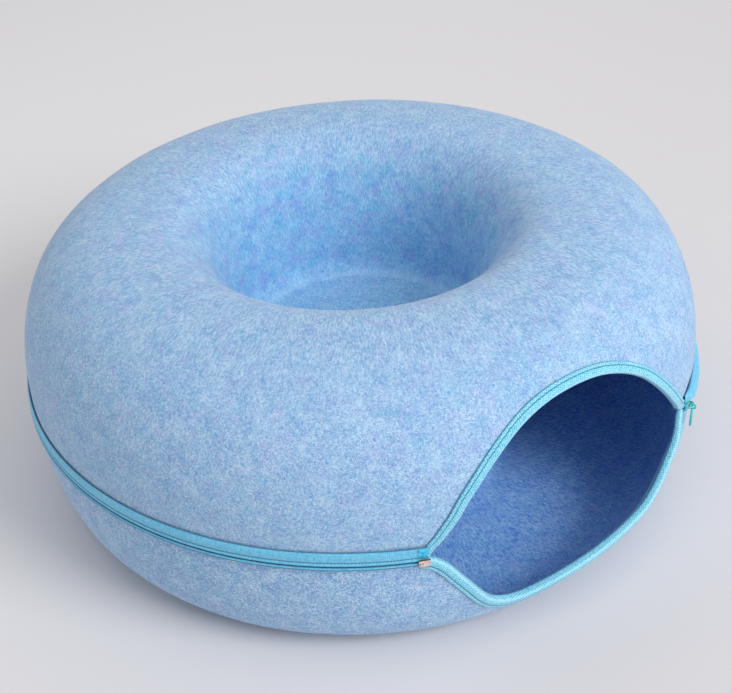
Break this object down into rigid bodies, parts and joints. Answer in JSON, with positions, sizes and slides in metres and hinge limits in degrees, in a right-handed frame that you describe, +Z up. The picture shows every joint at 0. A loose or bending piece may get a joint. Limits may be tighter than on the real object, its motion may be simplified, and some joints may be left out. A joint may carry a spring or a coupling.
{
  "type": "donut cat tunnel",
  "caption": "Round felt tunnel bed for a cat: two moulded half shells zipped round the rim, with a well in the middle and an eye-shaped doorway with bound edges.",
  "frame": {"origin": "on the floor, under the middle of the ring", "axes": "+Z up; the doorway faces -Y, with the zip's retainer box at its -X corner and the slider at its +X corner"},
  "size_m": [0.6069, 0.5984, 0.25],
  "materials": {
    "felt": "mottled pale blue needle felt",
    "trim": "cyan knitted binding and zip tape",
    "thread": "teal sewing thread",
    "coil": "blue nylon",
    "film": "glossy stiffening film",
    "copper": "copper-coloured pressed metal",
    "slider": "turquoise enamel",
    "grip": "hook and loop tape"
  },
  "bodies": {
    "lower_half": {"lower_shell": "felt", "lower_door_binding": "trim", "lower_binding_seam": "thread", "lower_zip_tape": "trim", "lower_tape_seam": "thread", "lower_zip_coil": "coil", "lower_tape_end_film": "film", "lower_top_stop": "copper", "retainer_box": "copper", "hook_disc": "grip"},
    "upper_half": {"upper_shell": "felt", "upper_door_binding": "trim", "upper_binding_seam": "thread", "upper_zip_tape": "trim", "upper_tape_seam": "thread", "upper_zip_coil": "coil", "upper_tape_end_film": "film", "upper_top_stop": "copper", "insert_pin": "copper", "loop_disc": "grip"},
    "slider": {"slider_body": "slider", "slider_crown": "slider"},
    "puller": {"puller": "slider"}
  },
  "joints": [
    {"name": "upper_half_lift", "type": "slide", "parent": "lower_half", "child": "upper_half", "axis": [0, 0, 1], "range_m": [0, 0.2]},
    {"name": "slider_travel", "type": "hinge", "parent": "lower_half", "child": "slider", "pos_m": [0, 0, 0.1145], "axis": [0, 0, 1], "range_deg": [0, 300.8]},
    {"name": "puller_swing", "type": "hinge", "parent": "slider", "child": "puller", "pos_m": [0.14864, -0.27021, 0.1145], "axis": [-0.8762, -0.482, 0], "range_deg": [0, 170]}
  ]
}
